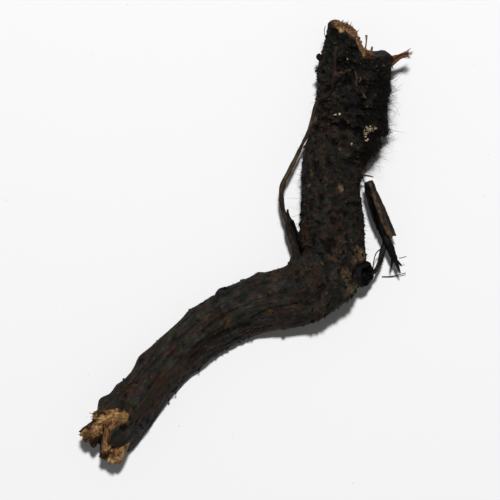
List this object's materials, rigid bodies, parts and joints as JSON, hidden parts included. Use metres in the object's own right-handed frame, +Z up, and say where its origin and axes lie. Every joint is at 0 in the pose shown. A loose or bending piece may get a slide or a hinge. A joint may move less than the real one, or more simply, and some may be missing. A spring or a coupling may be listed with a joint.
{
  "type": "dried root",
  "caption": "S-bent dried root with a broken crown and tip, torn side roots at the elbow and a wiry rootlet lying over the crown.",
  "frame": {"origin": "centre of the bounding box's base, on the surface the root lies on", "axes": "+Y along the root's overall length towards the broken crown, +Z up from the surface, +X towards the side with the split side root"},
  "size_m": [0.059, 0.0798, 0.0129],
  "materials": {
    "root_bark": "matte",
    "torn_bark": "matte",
    "wiry_core": "satin",
    "dark_core": "matte",
    "torn_wood": "matte"
  },
  "bodies": {
    "root": {"main_root": "root_bark", "left_side_root_bark": "torn_bark", "left_side_root_core": "wiry_core", "right_side_root_bark": "torn_bark", "right_side_root_core": "dark_core", "right_side_root_strand": "wiry_core", "crown_splinter": "torn_wood", "crown_fibre": "torn_wood", "neck_rootlet_stub": "wiry_core"}
  },
  "joints": []
}
